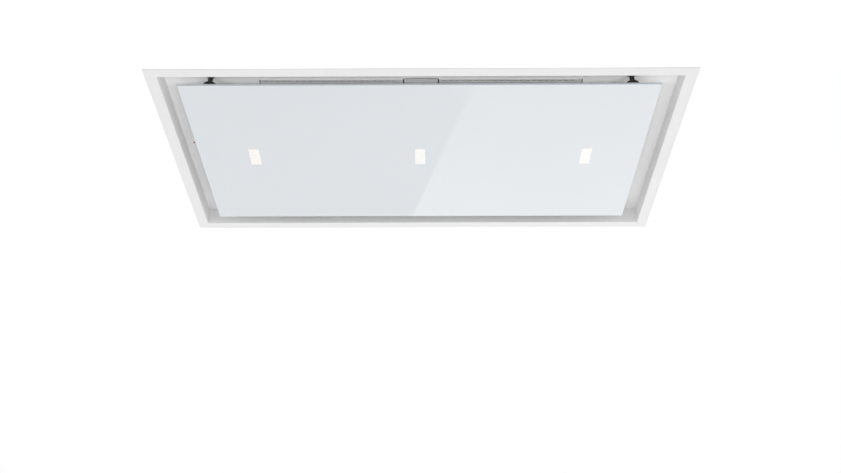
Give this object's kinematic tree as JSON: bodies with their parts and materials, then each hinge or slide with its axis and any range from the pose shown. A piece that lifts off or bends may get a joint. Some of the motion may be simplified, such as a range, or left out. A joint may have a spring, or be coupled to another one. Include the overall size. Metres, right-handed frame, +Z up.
{
  "type": "island range hood",
  "caption": "Flush ceiling range hood for an island: glass panel with LED windows in a white recessed frame, perimeter air slot, grease filters, blower and duct collar above.",
  "frame": {"origin": "centre of the four suspension holes, on the upper face of the rails", "axes": "+X along the hood to its right end, +Y towards the panel's hinges at the back, +Z up through the suspension holes"},
  "size_m": [1.2, 0.7, 0.301],
  "materials": {
    "white_frame": "white powder coat, satin",
    "recess_tray": "light grey-white powder coat, satin",
    "galvanised": "galvanised sheet with spangle",
    "zinc_steel": "zinc plated",
    "flap_aluminium": "mill finish",
    "foam_gasket": "closed-cell foam",
    "motor_can": "black paint",
    "polished_steel": "ground steel",
    "wheel_steel": "galvanised pressings",
    "white_glass": "clear glass with a white back coat",
    "backing_steel": "white primer",
    "filter_aluminium": "satin aluminium",
    "filter_mesh": "layered expanded mesh",
    "receiver_red": "red tinted lens",
    "bezel_ring": "white ring",
    "circuit_board": "green solder mask",
    "terminal_plastic": "natural nylon",
    "capacitor_can": "light plastic can",
    "gland_plastic": "black nylon",
    "black_post": "black nylon, satin",
    "catch_plastic": "black nylon",
    "spring_steel": "spring steel",
    "lamp_lens": "opal diffuser",
    "lamp_housing": "white housing"
  },
  "bodies": {
    "housing": {"ceiling_frame": "white_frame", "recess_tray": "recess_tray", "housing_wall_front": "galvanised", "housing_wall_back": "galvanised", "housing_wall_left": "galvanised", "housing_wall_right": "galvanised", "housing_top_plate": "galvanised", "suspension_rail_left": "galvanised", "suspension_rail_right": "galvanised", "rail_bolts": "zinc_steel", "duct_collar": "galvanised", "collar_screws": "zinc_steel", "flap_hinge_pin": "zinc_steel", "scroll_wrap": "galvanised", "scroll_side_left": "galvanised", "scroll_side_right": "galvanised", "outlet_gasket": "foam_gasket", "motor_body": "motor_can", "motor_bearings": "polished_steel", "motor_bracket": "zinc_steel", "bracket_screws": "zinc_steel", "filter_bridge": "filter_aluminium", "remote_receiver": "receiver_red", "receiver_bezel": "bezel_ring", "control_box_base": "galvanised", "control_box_lid": "galvanised", "control_board": "circuit_board", "terminal_block": "terminal_plastic", "motor_capacitor": "capacitor_can", "cable_gland": "gland_plastic", "hinge_bracket_left": "zinc_steel", "hinge_pin_left": "polished_steel", "catch_housing_left": "catch_plastic", "catch_clip_left": "spring_steel", "hinge_bracket_right": "zinc_steel", "hinge_pin_right": "polished_steel", "catch_housing_right": "catch_plastic", "catch_clip_right": "spring_steel"},
    "panel": {"glass_panel": "white_glass", "panel_backing": "backing_steel", "hinge_leaf_left": "zinc_steel", "hinge_leaf_right": "zinc_steel", "catch_post_left": "black_post", "catch_post_right": "black_post", "led_lens_left": "lamp_lens", "led_lens_centre": "lamp_lens", "led_lens_right": "lamp_lens", "led_module_left": "lamp_housing", "led_module_centre": "lamp_housing", "led_module_right": "lamp_housing"},
    "wheel": {"impeller_wheel": "wheel_steel", "motor_shaft": "polished_steel"},
    "front_flap": {"flap_front": "flap_aluminium"},
    "back_flap": {"flap_back": "flap_aluminium"},
    "left_filter": {"filter_frame_left": "filter_aluminium", "filter_mesh_left": "filter_mesh", "filter_springs_left": "spring_steel"},
    "right_filter": {"filter_frame_right": "filter_aluminium", "filter_mesh_right": "filter_mesh", "filter_springs_right": "spring_steel"}
  },
  "joints": [
    {"name": "panel_hinge", "type": "hinge", "parent": "housing", "child": "panel", "pos_m": [0, 0.281, -0.248], "axis": [1, 0, 0], "range_deg": [0, 85], "deforming": ["catch_clip_left", "catch_clip_right"]},
    {"name": "wheel_spin", "type": "hinge", "parent": "housing", "child": "wheel", "pos_m": [0, -0.0595, -0.115], "axis": [1, 0, 0], "continuous": true},
    {"name": "front_flap_hinge", "type": "hinge", "parent": "housing", "child": "front_flap", "pos_m": [0, 0, 0.012], "axis": [-1, 0, 0], "range_deg": [0, 75]},
    {"name": "back_flap_hinge", "type": "hinge", "parent": "housing", "child": "back_flap", "pos_m": [0, 0, 0.012], "axis": [1, 0, 0], "range_deg": [0, 75]},
    {"name": "left_filter_shift", "type": "slide", "parent": "housing", "child": "left_filter", "axis": [1, 0, 0], "range_m": [0, 0.0024], "stiffness_N_per_m": 1500, "deforming": ["filter_springs_left"]},
    {"name": "right_filter_shift", "type": "slide", "parent": "housing", "child": "right_filter", "axis": [-1, 0, 0], "range_m": [0, 0.0024], "stiffness_N_per_m": 1500, "deforming": ["filter_springs_right"]}
  ]
}
